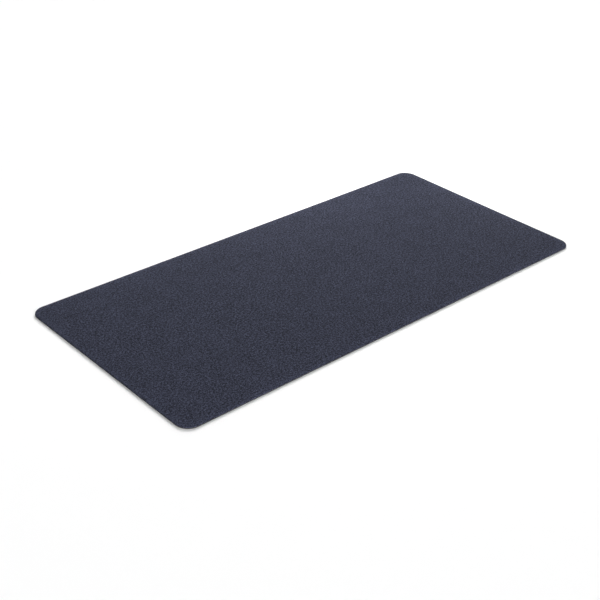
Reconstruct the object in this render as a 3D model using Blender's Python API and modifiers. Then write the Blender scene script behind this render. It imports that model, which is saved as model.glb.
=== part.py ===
"""Desk mat: a flat laminated sheet, die-cut to a rounded rectangle.

Three layers lie on one another, from the desk up: a rubber base that grips the desk, a thin adhesive
film, and a felt top that is the working surface. All three were cut in one stroke, so their outlines
match and the cut edge is plain, with no hem and no stitching.

Units are metres. +X runs along the mat's length, +Y along its width, +Z up. The origin is on the desk,
under the middle of the mat.
"""

import math

import bmesh
import bpy

# Outline
MAT_LENGTH = 0.900
MAT_WIDTH = 0.430
CORNER_RADIUS = 0.024
CORNER_STEPS = 20  # straight facets in each quarter-circle corner

# Layers, from the desk up
RUBBER_THICK = 0.00130
FILM_THICK = 0.00015
FELT_THICK = 0.00145
LAYER_GAP = 0.00030  # modelling clearance between layers that are bonded face to face

# Rims
FELT_RIM = 0.00050  # the cutting press rolls the felt's upper rim over by this much
FELT_RIM_STEPS = 4
RUBBER_RIM = 0.00020  # small break on the rubber's lower rim
RUBBER_RIM_STEPS = 2

COLLECTION_NAME = "desk_mat"


def clear_scene():
    for obj in list(bpy.data.objects):
        bpy.data.objects.remove(obj, do_unlink=True)


def new_collection(name):
    collection = bpy.data.collections.new(name)
    bpy.context.scene.collection.children.link(collection)
    return collection


def make_material(name, colour, roughness, metallic):
    material = bpy.data.materials.new(name)
    material.use_nodes = True
    shader = material.node_tree.nodes["Principled BSDF"]
    shader.inputs["Base Color"].default_value = (*colour, 1.0)
    shader.inputs["Roughness"].default_value = roughness
    shader.inputs["Metallic"].default_value = metallic
    material.diffuse_color = (*colour, 1.0)
    return material


def outline_points(length, width, radius, steps):
    """The rounded rectangle, anticlockwise seen from above, starting at the +X side."""
    points = []
    centre_x, centre_y = length / 2 - radius, width / 2 - radius
    corners = (
        (centre_x, centre_y, 0),
        (-centre_x, centre_y, 90),
        (-centre_x, -centre_y, 180),
        (centre_x, -centre_y, 270),
    )
    for x, y, start in corners:
        for step in range(steps + 1):
            angle = math.radians(start + 90 * step / steps)
            points.append((x + radius * math.cos(angle), y + radius * math.sin(angle)))
    return points


def sheet(name, thickness, bottom, collection, material):
    """One layer: the filled outline, extruded half its thickness each way, made a mesh with its caps welded."""
    curve = bpy.data.curves.new(name + "_outline", "CURVE")
    curve.dimensions = "2D"
    curve.fill_mode = "BOTH"
    curve.extrude = thickness / 2
    points = outline_points(MAT_LENGTH, MAT_WIDTH, CORNER_RADIUS, CORNER_STEPS)
    spline = curve.splines.new("POLY")
    spline.points.add(len(points) - 1)
    for point, (x, y) in zip(spline.points, points):
        point.co = (x, y, 0.0, 1.0)
    spline.use_cyclic_u = True

    drawn = bpy.data.objects.new(name + "_outline", curve)
    collection.objects.link(drawn)
    bpy.context.view_layer.update()
    depsgraph = bpy.context.evaluated_depsgraph_get()
    mesh = bpy.data.meshes.new_from_object(drawn.evaluated_get(depsgraph))
    bpy.data.objects.remove(drawn, do_unlink=True)
    bpy.data.curves.remove(curve)

    shape = bmesh.new()
    shape.from_mesh(mesh)
    bmesh.ops.remove_doubles(shape, verts=shape.verts, dist=0.00001)
    # The flat faces are one face each, whatever way the curve filled them.
    bmesh.ops.dissolve_limit(
        shape,
        angle_limit=math.radians(1),
        verts=shape.verts,
        edges=shape.edges,
    )
    bmesh.ops.recalc_face_normals(shape, faces=shape.faces)
    shape.to_mesh(mesh)
    shape.free()

    mesh.name = name
    mesh.materials.clear()
    mesh.materials.append(material)
    layer = bpy.data.objects.new(name, mesh)
    layer.location.z = bottom + thickness / 2
    collection.objects.link(layer)
    return layer


def round_rim(layer, upper, width, segments):
    """Rounds one rim of a layer: the upper one, or the lower one."""
    mesh = layer.data
    weights = mesh.attributes.new("bevel_weight_edge", "FLOAT", "EDGE")
    for edge in mesh.edges:
        heights = [mesh.vertices[i].co.z for i in edge.vertices]
        on_rim = min(heights) > 0 if upper else max(heights) < 0
        weights.data[edge.index].value = 1.0 if on_rim else 0.0
    bevel = layer.modifiers.new("rim", "BEVEL")
    bevel.limit_method = "WEIGHT"
    bevel.width = width
    bevel.segments = segments
    bevel.profile = 0.5


def shade(layer):
    layer.data.shade_smooth()
    layer.data.set_sharp_from_angle(angle=math.radians(35))


def build():
    clear_scene()
    mat = new_collection(COLLECTION_NAME)

    black_rubber = make_material("rubber", (0.017, 0.017, 0.018), 0.80, 0.0)
    clear_film = make_material("adhesive", (0.070, 0.068, 0.062), 0.45, 0.0)
    heather_felt = make_material("felt", (0.045, 0.048, 0.070), 0.95, 0.0)

    height = 0.0
    rubber = sheet("rubber_base", RUBBER_THICK, height, mat, black_rubber)
    round_rim(rubber, False, RUBBER_RIM, RUBBER_RIM_STEPS)
    height += RUBBER_THICK + LAYER_GAP

    film = sheet("adhesive_film", FILM_THICK, height, mat, clear_film)
    height += FILM_THICK + LAYER_GAP

    felt = sheet("felt_top", FELT_THICK, height, mat, heather_felt)
    round_rim(felt, True, FELT_RIM, FELT_RIM_STEPS)

    for layer in (rubber, film, felt):
        shade(layer)


build()
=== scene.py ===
"""Looks of the desk mat: a heathered felt sheet bonded to a black rubber base, on a pale studio floor.

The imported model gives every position. The felt and the rubber are rebuilt here as fine meshes in the
space that their plain solids hold; the adhesive film keeps its own solid and gets a better material.
"""

import math

import bpy
import numpy as np
from mathutils import Matrix, Vector


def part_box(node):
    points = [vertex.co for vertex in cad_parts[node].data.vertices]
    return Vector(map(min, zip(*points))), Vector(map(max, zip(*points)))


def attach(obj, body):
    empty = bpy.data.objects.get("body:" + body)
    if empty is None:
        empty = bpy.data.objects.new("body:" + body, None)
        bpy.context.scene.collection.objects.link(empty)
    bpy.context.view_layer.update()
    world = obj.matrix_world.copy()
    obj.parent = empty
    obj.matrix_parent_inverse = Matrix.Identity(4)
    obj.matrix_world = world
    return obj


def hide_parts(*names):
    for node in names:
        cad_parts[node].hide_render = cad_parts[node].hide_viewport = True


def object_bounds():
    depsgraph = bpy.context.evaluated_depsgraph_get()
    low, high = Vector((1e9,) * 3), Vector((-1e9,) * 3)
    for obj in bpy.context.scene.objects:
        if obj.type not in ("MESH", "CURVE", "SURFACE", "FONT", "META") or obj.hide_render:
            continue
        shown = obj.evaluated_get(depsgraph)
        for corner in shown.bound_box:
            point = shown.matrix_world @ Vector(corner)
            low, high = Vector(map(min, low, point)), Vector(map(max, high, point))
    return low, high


MM = 0.001

# ---------------------------------------------------------------- frame

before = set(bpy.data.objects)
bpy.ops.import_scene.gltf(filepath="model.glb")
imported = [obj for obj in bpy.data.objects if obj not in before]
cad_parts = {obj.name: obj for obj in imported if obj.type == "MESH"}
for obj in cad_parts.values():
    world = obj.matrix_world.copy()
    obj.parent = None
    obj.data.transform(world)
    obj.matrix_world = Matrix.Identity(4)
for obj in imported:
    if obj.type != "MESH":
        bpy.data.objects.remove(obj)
CAD_LOW, CAD_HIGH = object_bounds()

felt_low, felt_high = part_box("felt_top")
film_low, film_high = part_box("adhesive_film")
rubber_low, rubber_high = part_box("rubber_base")

HALF_X = (CAD_HIGH.x - CAD_LOW.x) / 2
HALF_Y = (CAD_HIGH.y - CAD_LOW.y) / 2
MID_X = (CAD_HIGH.x + CAD_LOW.x) / 2
MID_Y = (CAD_HIGH.y + CAD_LOW.y) / 2
CORNER_RADIUS = 24 * MM

# ---------------------------------------------------------------- smooth noise for the meshes


class Noise:
    """Smooth lattice noise in the plane, from -1 to 1, the same on every run."""

    def __init__(self, size, seed):
        self.size = size
        self.values = np.random.default_rng(seed).uniform(-1, 1, (256, 256))

    def __call__(self, x, y):
        gx, gy = np.asarray(x) / self.size, np.asarray(y) / self.size
        ix, iy = np.floor(gx).astype(int), np.floor(gy).astype(int)
        fx, fy = gx - ix, gy - iy
        fx, fy = fx * fx * (3 - 2 * fx), fy * fy * (3 - 2 * fy)
        ix0, ix1, iy0, iy1 = ix % 256, (ix + 1) % 256, iy % 256, (iy + 1) % 256
        v = self.values
        low = v[ix0, iy0] * (1 - fx) + v[ix1, iy0] * fx
        high = v[ix0, iy1] * (1 - fx) + v[ix1, iy1] * fx
        return low * (1 - fy) + high * fy


# ---------------------------------------------------------------- the die-cut outline

GRID = 2.25 * MM  # spacing of the felt's surface points
ARC_STEPS = 16


def outline(inset, nx, ny, arc=ARC_STEPS):
    """A ring round the mat, anticlockwise from above, starting where the near long edge meets its left arc.
    Order: near edge, right arc and edge and arc, far edge, left arc and edge and arc.
    The inset is one number, or a function of x and y that lets the cut wander."""
    cx, cy = HALF_X - CORNER_RADIUS, HALF_Y - CORNER_RADIUS
    centres, outward = [], []

    def line(x0, y0, x1, y1, n, way):
        for k in range(n):
            centres.append((x0 + (x1 - x0) * k / n, y0 + (y1 - y0) * k / n))
            outward.append(way)

    def turn(x, y, start):
        for k in range(arc):
            a = math.radians(start + 90 * k / arc)
            centres.append((x, y))
            outward.append((math.cos(a), math.sin(a)))

    line(-cx, -cy, cx, -cy, nx, (0, -1))
    turn(cx, -cy, -90)
    line(cx, -cy, cx, cy, ny, (1, 0))
    turn(cx, cy, 0)
    line(cx, cy, -cx, cy, nx, (0, 1))
    turn(-cx, cy, 90)
    line(-cx, cy, -cx, -cy, ny, (-1, 0))
    turn(-cx, -cy, 180)
    centres, outward = np.array(centres), np.array(outward, float)
    if callable(inset):
        edge = centres + outward * CORNER_RADIUS
        inset = inset(edge[:, 0], edge[:, 1])[:, None]
    return centres + outward * (CORNER_RADIUS - inset) + (MID_X, MID_Y)


class Sheet:
    """Gathers vertices and faces of one closed sheet."""

    def __init__(self, nx, ny):
        self.nx, self.ny = nx, ny
        self.rows = ny + 2 * ARC_STEPS
        self.vertices, self.faces = [], []
        self.count = 0

    def add(self, points):
        start = self.count
        self.vertices.append(np.asarray(points, float))
        self.count += len(points)
        return start

    def ring(self, xy, z):
        z = np.broadcast_to(z, len(xy))
        return self.add(np.column_stack([xy, z]))

    def band(self, lower, upper):
        """Quads between two rings, facing away from the sheet when lower is the outer or lower ring."""
        n = 2 * (self.nx + self.rows)
        for k in range(n):
            m = (k + 1) % n
            self.faces.append((lower + k, lower + m, upper + m, upper + k))

    def cap(self, ring_start, height, up):
        """A grid inside a ring whose vertices are already there. height(x, y) gives the new vertices' z."""
        ring = self.vertices_of(ring_start)
        nx, rows = self.nx, self.rows
        n = 2 * (nx + rows)
        index = np.full((rows + 1, nx + 1), -1)
        for i in range(nx + 1):
            index[0, i] = ring_start + i
            index[rows, i] = ring_start + (nx + rows + (nx - i)) % n
        for j in range(rows + 1):
            index[j, nx] = ring_start + nx + j
            index[j, 0] = ring_start + (n - j) % n
        right = ring[(nx + np.arange(rows + 1)) % n]
        left = ring[(n - np.arange(rows + 1)) % n]
        share = np.arange(1, nx) / nx
        inner = []
        for j in range(1, rows):
            # rows near the two long edges start out bunched along them, and even out towards the middle
            x = left[j, 0] + (right[j, 0] - left[j, 0]) * share
            y = np.full(nx - 1, right[j, 1])
            inner.append(np.column_stack([x, y]))
        inner = np.concatenate(inner)
        start = self.add(np.column_stack([inner, height(inner[:, 0], inner[:, 1])]))
        index[1:rows, 1:nx] = start + np.arange((rows - 1) * (nx - 1)).reshape(
            rows - 1, nx - 1
        )
        a, b = index[:-1, :-1].ravel(), index[:-1, 1:].ravel()
        c, d = index[1:, 1:].ravel(), index[1:, :-1].ravel()
        quads = np.column_stack([a, b, c, d] if up else [d, c, b, a])
        self.faces.extend(map(tuple, quads.tolist()))

    def vertices_of(self, start):
        n = 2 * (self.nx + self.rows)
        return np.concatenate(self.vertices)[start : start + n]

    def build(self, name):
        mesh = bpy.data.meshes.new(name)
        mesh.from_pydata(np.concatenate(self.vertices).tolist(), [], self.faces)
        mesh.update()
        mesh.validate()
        mesh.shade_smooth()
        obj = bpy.data.objects.new(name, mesh)
        bpy.context.scene.collection.objects.link(obj)
        return obj


# ---------------------------------------------------------------- felt

FELT_BOTTOM = film_high.z + 0.05 * MM
FELT_TOP = felt_high.z

undulation = Noise(170 * MM, 11)
clump = Noise(7.0 * MM, 12)
tuft = Noise(3.1 * MM, 13)
snag = Noise(2.6 * MM, 14)


def inside(x, y):
    """Distance in from the die-cut edge."""
    bx = np.abs(x - MID_X) - (HALF_X - CORNER_RADIUS)
    by = np.abs(y - MID_Y) - (HALF_Y - CORNER_RADIUS)
    outer = np.hypot(np.maximum(bx, 0), np.maximum(by, 0))
    return CORNER_RADIUS - outer - np.minimum(np.maximum(bx, by), 0)


def felt_surface(x, y):
    """Height of the nap: flat to within a fraction of a millimetre, with clumped fibres, and pressed down
    towards the edge by the cutting die."""
    press = np.clip(1 - inside(x, y) / (16 * MM), 0, 1) ** 2
    return (
        FELT_TOP
        - 0.06 * MM
        - 0.42 * MM * press
        + 0.10 * MM * undulation(x, y)
        + 0.035 * MM * clump(x, y)
        + 0.035 * MM * tuft(x, y)
    )


def build_felt():
    nx = round((2 * HALF_X - 2 * CORNER_RADIUS) / GRID)
    ny = round((2 * HALF_Y - 2 * CORNER_RADIUS) / GRID)
    sheet = Sheet(nx, ny)
    # (inset, drop below the nap) from the foot of the cut face, up and over the pressed rim
    wall = [
        (0.10, None),
        (0.00, 1.05),
        (0.01, 0.52),
        (0.08, 0.28),
        (0.25, 0.14),
        (0.60, 0.06),
        (1.5, 0.025),
    ]
    rings = []
    for inset, drop in wall:
        # the cut face frays a little, and the rim inside it does not
        fray = 0.07 * MM if inset < 0.2 else 0.0
        xy = outline(lambda x, y: inset * MM + fray * (1 + snag(x, y)) / 2, nx, ny)
        if drop is None:
            z = np.full(len(xy), FELT_BOTTOM)
        else:
            z = felt_surface(xy[:, 0], xy[:, 1]) - drop * MM
        rings.append(sheet.ring(xy, z))
    for lower, upper in zip(rings, rings[1:]):
        sheet.band(lower, upper)
    sheet.cap(rings[-1], felt_surface, up=True)
    n = 2 * (sheet.nx + sheet.rows)
    sheet.faces.append(tuple(range(n - 1, -1, -1)))
    return sheet.build("felt_sheet")


# ---------------------------------------------------------------- rubber

RUBBER_TOP = film_low.z - 0.05 * MM
RUBBER_BOTTOM = rubber_low.z
GRIP_DEPTH = 0.30 * MM
GRIP_PITCH = 8.0 * MM  # from one grip point to the next along the mat, with another row between


def grip(x, y):
    """The underside: rounded grip points in staggered rows, dying out at the edge."""
    wave = np.cos(2 * math.pi * (x - MID_X) / GRIP_PITCH) * np.cos(2 * math.pi * (y - MID_Y) / GRIP_PITCH)
    fade = np.clip((inside(x, y) - 1.2 * MM) / (3 * MM), 0, 1)
    return RUBBER_BOTTOM + GRIP_DEPTH * (0.5 - 0.5 * wave) * fade


def build_rubber():
    step = 2.1 * MM
    nx = round((2 * HALF_X - 2 * CORNER_RADIUS) / step)
    ny = round((2 * HALF_Y - 2 * CORNER_RADIUS) / step)
    sheet = Sheet(nx, ny)
    rows = [
        (1.2, RUBBER_BOTTOM + 0.02 * MM),
        (0.45, RUBBER_BOTTOM + 0.02 * MM),
        (0.12, RUBBER_BOTTOM + 0.10 * MM),
        (0.0, RUBBER_BOTTOM + 0.30 * MM),
        (0.0, RUBBER_TOP - 0.12 * MM),
        (0.06, RUBBER_TOP),
    ]
    rings = []
    for inset, z in rows:
        xy = outline(inset * MM, nx, ny)
        rings.append(sheet.ring(xy, np.full(len(xy), z)))
    for lower, upper in zip(rings, rings[1:]):
        sheet.band(lower, upper)
    n = 2 * (sheet.nx + sheet.rows)
    sheet.faces.append(tuple(range(rings[-1], rings[-1] + n)))

    sheet.cap(rings[0], grip, up=False)
    return sheet.build("rubber_sheet")


felt = build_felt()
rubber = build_rubber()

# ---------------------------------------------------------------- materials


class Nodes:
    """A short way to write a node tree."""

    def __init__(self, name):
        self.material = bpy.data.materials.new(name)
        self.material.use_nodes = True
        self.tree = self.material.node_tree
        self.shader = self.tree.nodes["Principled BSDF"]
        where = self.tree.nodes.new("ShaderNodeTexCoord")
        self.place, self.normal = where.outputs["Object"], where.outputs["Normal"]

    def plug(self, value, socket):
        """A node's output is linked; a number, or a tuple of numbers, is set."""
        if isinstance(value, bpy.types.NodeSocket):
            self.tree.links.new(value, socket)
        elif isinstance(value, tuple) and socket.type == "RGBA" and len(value) == 3:
            socket.default_value = (*value, 1)
        else:
            socket.default_value = value

    def noise(self, scale, detail=2.0, rough=0.5, distort=0.0, vector=None, out="Fac"):
        n = self.tree.nodes.new("ShaderNodeTexNoise")
        n.inputs["Scale"].default_value = scale
        n.inputs["Detail"].default_value = detail
        n.inputs["Roughness"].default_value = rough
        n.inputs["Distortion"].default_value = distort
        self.plug(vector or self.place, n.inputs["Vector"])
        return n.outputs[out]

    def cells(self, scale, vector=None, feature="F1", out="Color"):
        n = self.tree.nodes.new("ShaderNodeTexVoronoi")
        n.feature = feature
        n.inputs["Scale"].default_value = scale
        self.plug(vector or self.place, n.inputs["Vector"])
        return n.outputs[out]

    def red(self, colour):
        n = self.tree.nodes.new("ShaderNodeSeparateColor")
        self.plug(colour, n.inputs["Color"])
        return n.outputs["Red"]

    def vector(self, op, a, b=None, scale=None):
        n = self.tree.nodes.new("ShaderNodeVectorMath")
        n.operation = op
        self.plug(a, n.inputs[0])
        if b is not None:
            self.plug(b, n.inputs[1])
        if scale is not None:
            self.plug(scale, n.inputs["Scale"])
        return n.outputs[0]

    def length(self, vector):
        n = self.tree.nodes.new("ShaderNodeVectorMath")
        n.operation = "LENGTH"
        self.plug(vector, n.inputs[0])
        return n.outputs["Value"]

    def largest_xy(self, vector):
        return self.math("MAXIMUM", self.along(vector, "X"), self.along(vector, "Y"))

    def along(self, vector, axis):
        n = self.tree.nodes.new("ShaderNodeSeparateXYZ")
        self.plug(vector, n.inputs[0])
        return n.outputs[axis]

    def turned(self, vector, degrees, scale):
        """Coordinates turned about Z, then stretched."""
        turn = self.tree.nodes.new("ShaderNodeVectorRotate")
        turn.rotation_type = "Z_AXIS"
        turn.inputs["Angle"].default_value = math.radians(degrees)
        self.plug(vector, turn.inputs["Vector"])
        return self.vector("MULTIPLY", turn.outputs[0], scale)

    def math(self, op, a, b=0.0, c=None, clamp=False):
        n = self.tree.nodes.new("ShaderNodeMath")
        n.operation = op
        n.use_clamp = clamp
        self.plug(a, n.inputs[0])
        self.plug(b, n.inputs[1])
        if c is not None:
            self.plug(c, n.inputs[2])
        return n.outputs[0]

    def spread(self, value, low, high, to_low=0.0, to_high=1.0, smooth=True):
        """value between low and high, mapped to another range and held at its ends."""
        n = self.tree.nodes.new("ShaderNodeMapRange")
        n.interpolation_type = "SMOOTHSTEP" if smooth else "LINEAR"
        for key, number in (
            ("From Min", low),
            ("From Max", high),
            ("To Min", to_low),
            ("To Max", to_high),
        ):
            n.inputs[key].default_value = number
        self.plug(value, n.inputs["Value"])
        return n.outputs["Result"]

    def mix(self, fac, a, b, blend="MIX"):
        n = self.tree.nodes.new("ShaderNodeMix")
        n.data_type = "RGBA"
        n.blend_type = blend
        self.plug(fac, n.inputs["Factor"])
        sockets = {s.identifier: s for s in n.inputs}
        self.plug(a, sockets["A_Color"])
        self.plug(b, sockets["B_Color"])
        return next(s for s in n.outputs if s.identifier == "Result_Color")

    def bump(self, height, distance, strength=1.0, normal=None):
        n = self.tree.nodes.new("ShaderNodeBump")
        n.inputs["Strength"].default_value = strength
        n.inputs["Distance"].default_value = distance
        self.plug(height, n.inputs["Height"])
        if normal is not None:
            self.plug(normal, n.inputs["Normal"])
        return n.outputs["Normal"]

    def set(self, **values):
        for key, value in values.items():
            self.plug(value, self.shader.inputs[key.replace("_", " ")])
        return self.material


FELT_COLOUR = (0.0254, 0.0282, 0.0449)
FELT_DUST = (0.283, 0.301, 0.456)
SHEEN = 0.03
RUBBER_COLOUR = (0.036, 0.0355, 0.0355)


def from_edge(m):
    """Distance in from the die-cut edge, worked out from the same rounded rectangle."""
    centred = m.vector("SUBTRACT", m.place, (MID_X, MID_Y, 0.0))
    flat = m.vector("MULTIPLY", m.vector("ABSOLUTE", centred), (1.0, 1.0, 0.0))
    core = (HALF_X - CORNER_RADIUS, HALF_Y - CORNER_RADIUS, 0.0)
    beyond = m.vector("SUBTRACT", flat, core)
    outer = m.length(m.vector("MAXIMUM", beyond, (0.0, 0.0, 0.0)))
    inner = m.math("MINIMUM", m.largest_xy(beyond), 0.0)
    return m.math("SUBTRACT", CORNER_RADIUS, m.math("ADD", outer, inner))


def felt_material():
    """Short fibres laid every way and punched flat: like-dyed clumps a few millimetres across, broken
    up by crossing fibres, slow changes of tone, a margin and steep faces painted paler as painted
    highlights, and a dusty sheen from loose ends."""
    m = Nodes("heather_felt")
    stir = m.vector("SUBTRACT", m.noise(700.0, 2.0, 0.6, out="Color"), (0.5, 0.5, 0.5))
    stirred = m.vector("ADD", m.place, m.vector("SCALE", stir, scale=1.1 * MM))

    fibres = None
    for degrees in (12, 71, 133):
        lie = m.turned(stirred, degrees, (260.0, 3600.0, 2400.0))
        strand = m.spread(m.noise(1.0, 1.5, 0.5, vector=lie), 0.47, 0.74)
        fibres = strand if fibres is None else m.math("MAXIMUM", fibres, strand)

    # how far each layer of mottling takes the tone from its mean
    mottle = (
        (m.noise(285.0, 0.0), 1.95),
        (m.noise(600.0, 0.0), 3.2),
        (m.red(m.cells(900.0, vector=stirred)), 1.05),
        (fibres, 0.85),
        (m.noise(36.0, 2.0, 0.55), 0.50),
        (m.noise(9.0, 1.0, 0.5), 0.20),
    )
    tone = 1.0
    for layer, amount in mottle:
        tone = m.math("MULTIPLY_ADD", m.math("SUBTRACT", layer, 0.5), amount, tone)

    # the margin is painted paler in patches, a painted highlight along the pressed rim
    highlight_patches = m.spread(m.noise(60.0, 2.0), 0.3, 0.7, 0.6, 1.0)
    painted_rim_highlight = m.math("MULTIPLY", m.spread(from_edge(m), 16 * MM, 0.5 * MM), highlight_patches)
    tone = m.math("MULTIPLY_ADD", painted_rim_highlight, 0.30, tone)
    tone = m.math("MAXIMUM", tone, 0.14)
    # painted highlight: steep faces, the cut face and the rolled rim, are painted up to 1.45 times lighter,
    # where less light reaches them
    tone = m.math("MULTIPLY", tone, m.spread(m.along(m.normal, "Z"), 0.25, 0.8, 1.45, 1.0))

    height = m.math("MULTIPLY_ADD", fibres, 0.55, m.math("MULTIPLY", m.noise(1150.0, 1.0, 0.5), 0.9))
    return m.set(
        Base_Color=m.vector("SCALE", FELT_COLOUR, scale=tone),
        Roughness=m.spread(fibres, 0.0, 1.0, 0.96, 0.84),
        Normal=m.bump(height, 0.16 * MM, 0.7),
        Sheen_Weight=SHEEN,
        Sheen_Roughness=1.0,
        Sheen_Tint=FELT_DUST,
        Specular_IOR_Level=0.03,
    )


def rubber_material():
    """Black foamed rubber: closed cells a third of a millimetre across, a slightly chalky skin that comes
    and goes in clouds, and grip points whose tips the desk has scuffed paler than the hollows between."""
    m = Nodes("black_rubber")
    cell = m.cells(2600.0, out="Distance")
    grain = m.noise(1400.0, 3.0, 0.6)
    cloud = m.noise(60.0, 2.0, 0.5)
    chalk = m.noise(11.0, 4.0, 0.6)
    scuff = m.noise(1.0, 2.0, 0.6, vector=m.turned(m.place, 24, (14.0, 420.0, 1.0)))
    tip = m.spread(m.along(m.place, "Z"), RUBBER_BOTTOM + 0.19 * MM, RUBBER_BOTTOM + 0.02 * MM)
    tone = m.math("MULTIPLY_ADD", m.math("SUBTRACT", grain, 0.5), 0.9, 0.85)
    tone = m.math("MULTIPLY_ADD", m.math("SUBTRACT", cloud, 0.5), 0.5, tone)
    tone = m.math("MULTIPLY_ADD", m.spread(chalk, 0.42, 0.66), 0.30, tone)
    tone = m.math("MULTIPLY_ADD", m.math("MULTIPLY", m.spread(scuff, 0.58, 0.72), tip), 0.35, tone)
    tone = m.math("MULTIPLY_ADD", tip, 0.55, tone)
    tone = m.math("MAXIMUM", tone, 0.2)
    height = m.math("MULTIPLY_ADD", cell, 0.5, grain)
    return m.set(
        Base_Color=m.vector("SCALE", RUBBER_COLOUR, scale=tone),
        Roughness=m.math("SUBTRACT", m.spread(cloud, 0.3, 0.7, 0.68, 0.84), m.math("MULTIPLY", tip, 0.12)),
        Normal=m.bump(height, 0.08 * MM, 0.6),
        Specular_IOR_Level=0.35,
    )


def film_material():
    """Set hot-melt adhesive, smoky and half clear, seen only as a hairline in the cut edge."""
    m = Nodes("hot_melt_adhesive")
    cloud = m.noise(420.0, 2.0, 0.5)
    tone = m.spread(cloud, 0.3, 0.7, 0.7, 1.3)
    return m.set(
        Base_Color=m.vector("SCALE", (0.021, 0.0205, 0.0195), scale=tone),
        Roughness=m.spread(cloud, 0.3, 0.7, 0.40, 0.58),
        Normal=m.bump(cloud, 0.04 * MM, 0.5),
    )


def dress(obj, material):
    obj.data.materials.clear()
    obj.data.materials.append(material)


dress(felt, felt_material())
dress(rubber, rubber_material())
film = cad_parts["adhesive_film"]
for s in film.material_slots:
    s.link = "OBJECT"
    s.material = film_material()

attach(felt, "root")
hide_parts("felt_top")
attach(rubber, "root")
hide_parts("rubber_base")

# ---------------------------------------------------------------- studio

SURROUND = 0.20
# name, azimuth, elevation, angle across, power
SOFTBOXES = (
    ("key_right", 35, 28, 28, 1.35),
    ("key_low", 40, 17, 20, 1.73),
    ("key_far_right", 50, 25, 20, 1.39),
    ("top", 0, 90, 60, 0.26),
    ("fill_near_right", 285, 14, 25, 0.99),
    ("fill_near", 262, 9, 20, 2.25),
    ("fill_left", 200, 14, 40, 0.73),
    ("underneath", 150, -24, 14, 3.6),
)

scene = bpy.context.scene
scene.view_settings.view_transform = "Standard"
scene.view_settings.look = "None"
scene.view_settings.exposure = 0.0
scene.view_settings.gamma = 1.0


def build_floor():
    """Pale paper. It is open under the mat, where nobody sees it from above, so that light from below
    reaches the underside when that is looked at."""
    hole = outline(0.6 * MM, 1, 1)
    reach = 7.0
    far = [(-reach, -reach), (reach, -reach), (reach, reach), (-reach, reach)]
    points = [(x, y, -0.02 * MM) for x, y in (*far, *hole)]
    # The hole's quarter arcs start after each straight side: near right, far right, far left, near left.
    ring = list(range(4, len(points)))
    per = ARC_STEPS + 1
    arcs = [[ring[(1 + q * per + k) % len(ring)] for k in range(per)] for q in range(4)]
    order = (1, 2, 3, 0)
    faces = []
    for q, arc in enumerate(arcs):
        corner = order[q]
        faces.extend((corner, arc[k + 1], arc[k]) for k in range(per - 1))
        faces.append((corner, order[(q + 1) % 4], arcs[(q + 1) % 4][0], arc[-1]))
    mesh = bpy.data.meshes.new("studio_floor")
    mesh.from_pydata(points, [], faces)
    mesh.validate()
    mesh.update()
    obj = bpy.data.objects.new("studio_floor", mesh)
    scene.collection.objects.link(obj)
    return obj


floor = build_floor()


def floor_material():
    """Pale paper, which the camera doesn't see from below."""
    m = Nodes("studio_paper")
    m.set(Base_Color=(0.912, 0.912, 0.912), Roughness=0.9, Specular_IOR_Level=0.1)
    clear = m.tree.nodes.new("ShaderNodeBsdfTransparent")
    either = m.tree.nodes.new("ShaderNodeMixShader")
    facing = m.tree.nodes.new("ShaderNodeNewGeometry")
    path = m.tree.nodes.new("ShaderNodeLightPath")
    unseen = m.math("MULTIPLY", facing.outputs["Backfacing"], path.outputs["Is Camera Ray"])
    m.plug(unseen, either.inputs["Fac"])
    m.plug(m.shader.outputs["BSDF"], either.inputs[1])
    m.plug(clear.outputs["BSDF"], either.inputs[2])
    m.plug(either.outputs["Shader"], m.tree.nodes["Material Output"].inputs["Surface"])
    return m.material


dress(floor, floor_material())

world = bpy.data.worlds.new("studio")
scene.world = world
world.use_nodes = True
surround = world.node_tree.nodes["Background"]
surround.inputs["Color"].default_value = (1, 1, 1, 1)
surround.inputs["Strength"].default_value = SURROUND
# The camera sees the surround as white as the floor, so the horizon doesn't show.
seen = world.node_tree.nodes.new("ShaderNodeBackground")
seen.inputs["Color"].default_value = (1, 1, 1, 1)
either = world.node_tree.nodes.new("ShaderNodeMixShader")
path = world.node_tree.nodes.new("ShaderNodeLightPath")
for start, end in (
    (path.outputs["Is Camera Ray"], either.inputs["Fac"]),
    (surround.outputs["Background"], either.inputs[1]),
    (seen.outputs["Background"], either.inputs[2]),
    (either.outputs["Shader"], world.node_tree.nodes["World Output"].inputs["Surface"]),
):
    world.node_tree.links.new(start, end)


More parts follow.
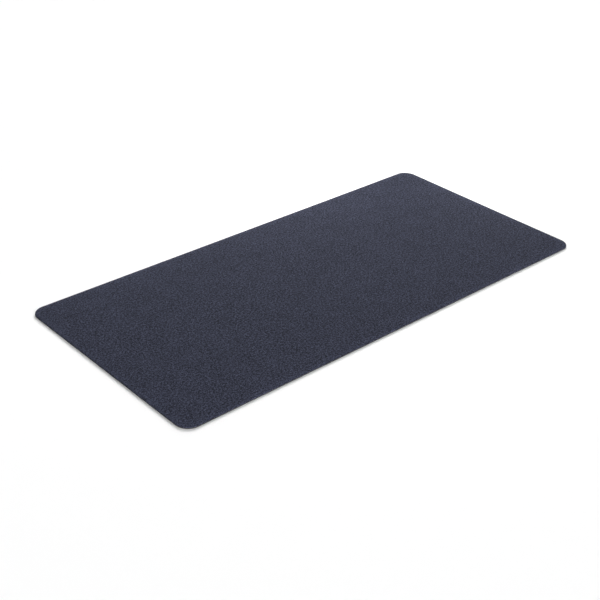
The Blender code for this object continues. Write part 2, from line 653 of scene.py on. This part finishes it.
def soft_light(name, azimuth, elevation, width, power):
    """A broad, distant softbox: its direction, the angle it spans, and its power."""
    data = bpy.data.lights.new(name, "SUN")
    data.angle = math.radians(width)
    data.energy = power
    light = bpy.data.objects.new(name, data)
    scene.collection.objects.link(light)
    a, e = math.radians(azimuth), math.radians(elevation)
    light.location = (3 * math.cos(e) * math.cos(a), 3 * math.cos(e) * math.sin(a), 3 * math.sin(e))
    light.rotation_mode = "QUATERNION"
    light.rotation_quaternion = light.location.to_track_quat("Z", "Y")


for softbox in SOFTBOXES:
    soft_light(*softbox)


def lamp(name, place, target, width, breadth, power):
    """A small softbox near the mat, out of the camera's sight: round, or a long low strip."""
    data = bpy.data.lights.new(name, "AREA")
    data.shape = "ELLIPSE"
    data.size, data.size_y = width, breadth
    data.energy = power
    light = bpy.data.objects.new(name, data)
    scene.collection.objects.link(light)
    light.visible_camera = False
    light.location = place
    light.rotation_mode = "QUATERNION"
    light.rotation_quaternion = (Vector(place) - Vector(target)).to_track_quat("Z", "Y")


lamp("far_corner", (0.30, 0.32, 0.28), (0.30, 0.14, 0.0), 0.25, 0.25, 0.68)
lamp("far_left_strip", (-0.02, 0.315, 0.06), (-0.02, 0.215, 0.0), 0.85, 0.05, 0.30)
lamp("far_right_strip", (0.49, 0.04, 0.03), (0.45, 0.04, 0.0), 0.36, 0.03, 0.075)

# ---------------------------------------------------------------- camera

camera_data = bpy.data.cameras.new("camera")
camera_data.sensor_width = 36.0
camera_data.lens = 69.696
camera_data.clip_start = 0.05
camera_data.clip_end = 100
camera = bpy.data.objects.new("camera", camera_data)
scene.collection.objects.link(camera)
camera.location = (-1.22784, -1.30307, 1.00916)
RIGHT = (0.74715353, -0.66429832, 0.02166448)
FORWARD = (0.58040154, 0.63621585, -0.50829465)


def aim(obj, right, forward):
    back = -Vector(forward).normalized()
    right = Vector(right)
    right = (right - right.dot(back) * back).normalized()
    up = back.cross(right)
    obj.rotation_mode = "QUATERNION"
    obj.rotation_quaternion = Matrix((right, up, back)).transposed().to_quaternion()


aim(camera, RIGHT, FORWARD)
scene.camera = camera
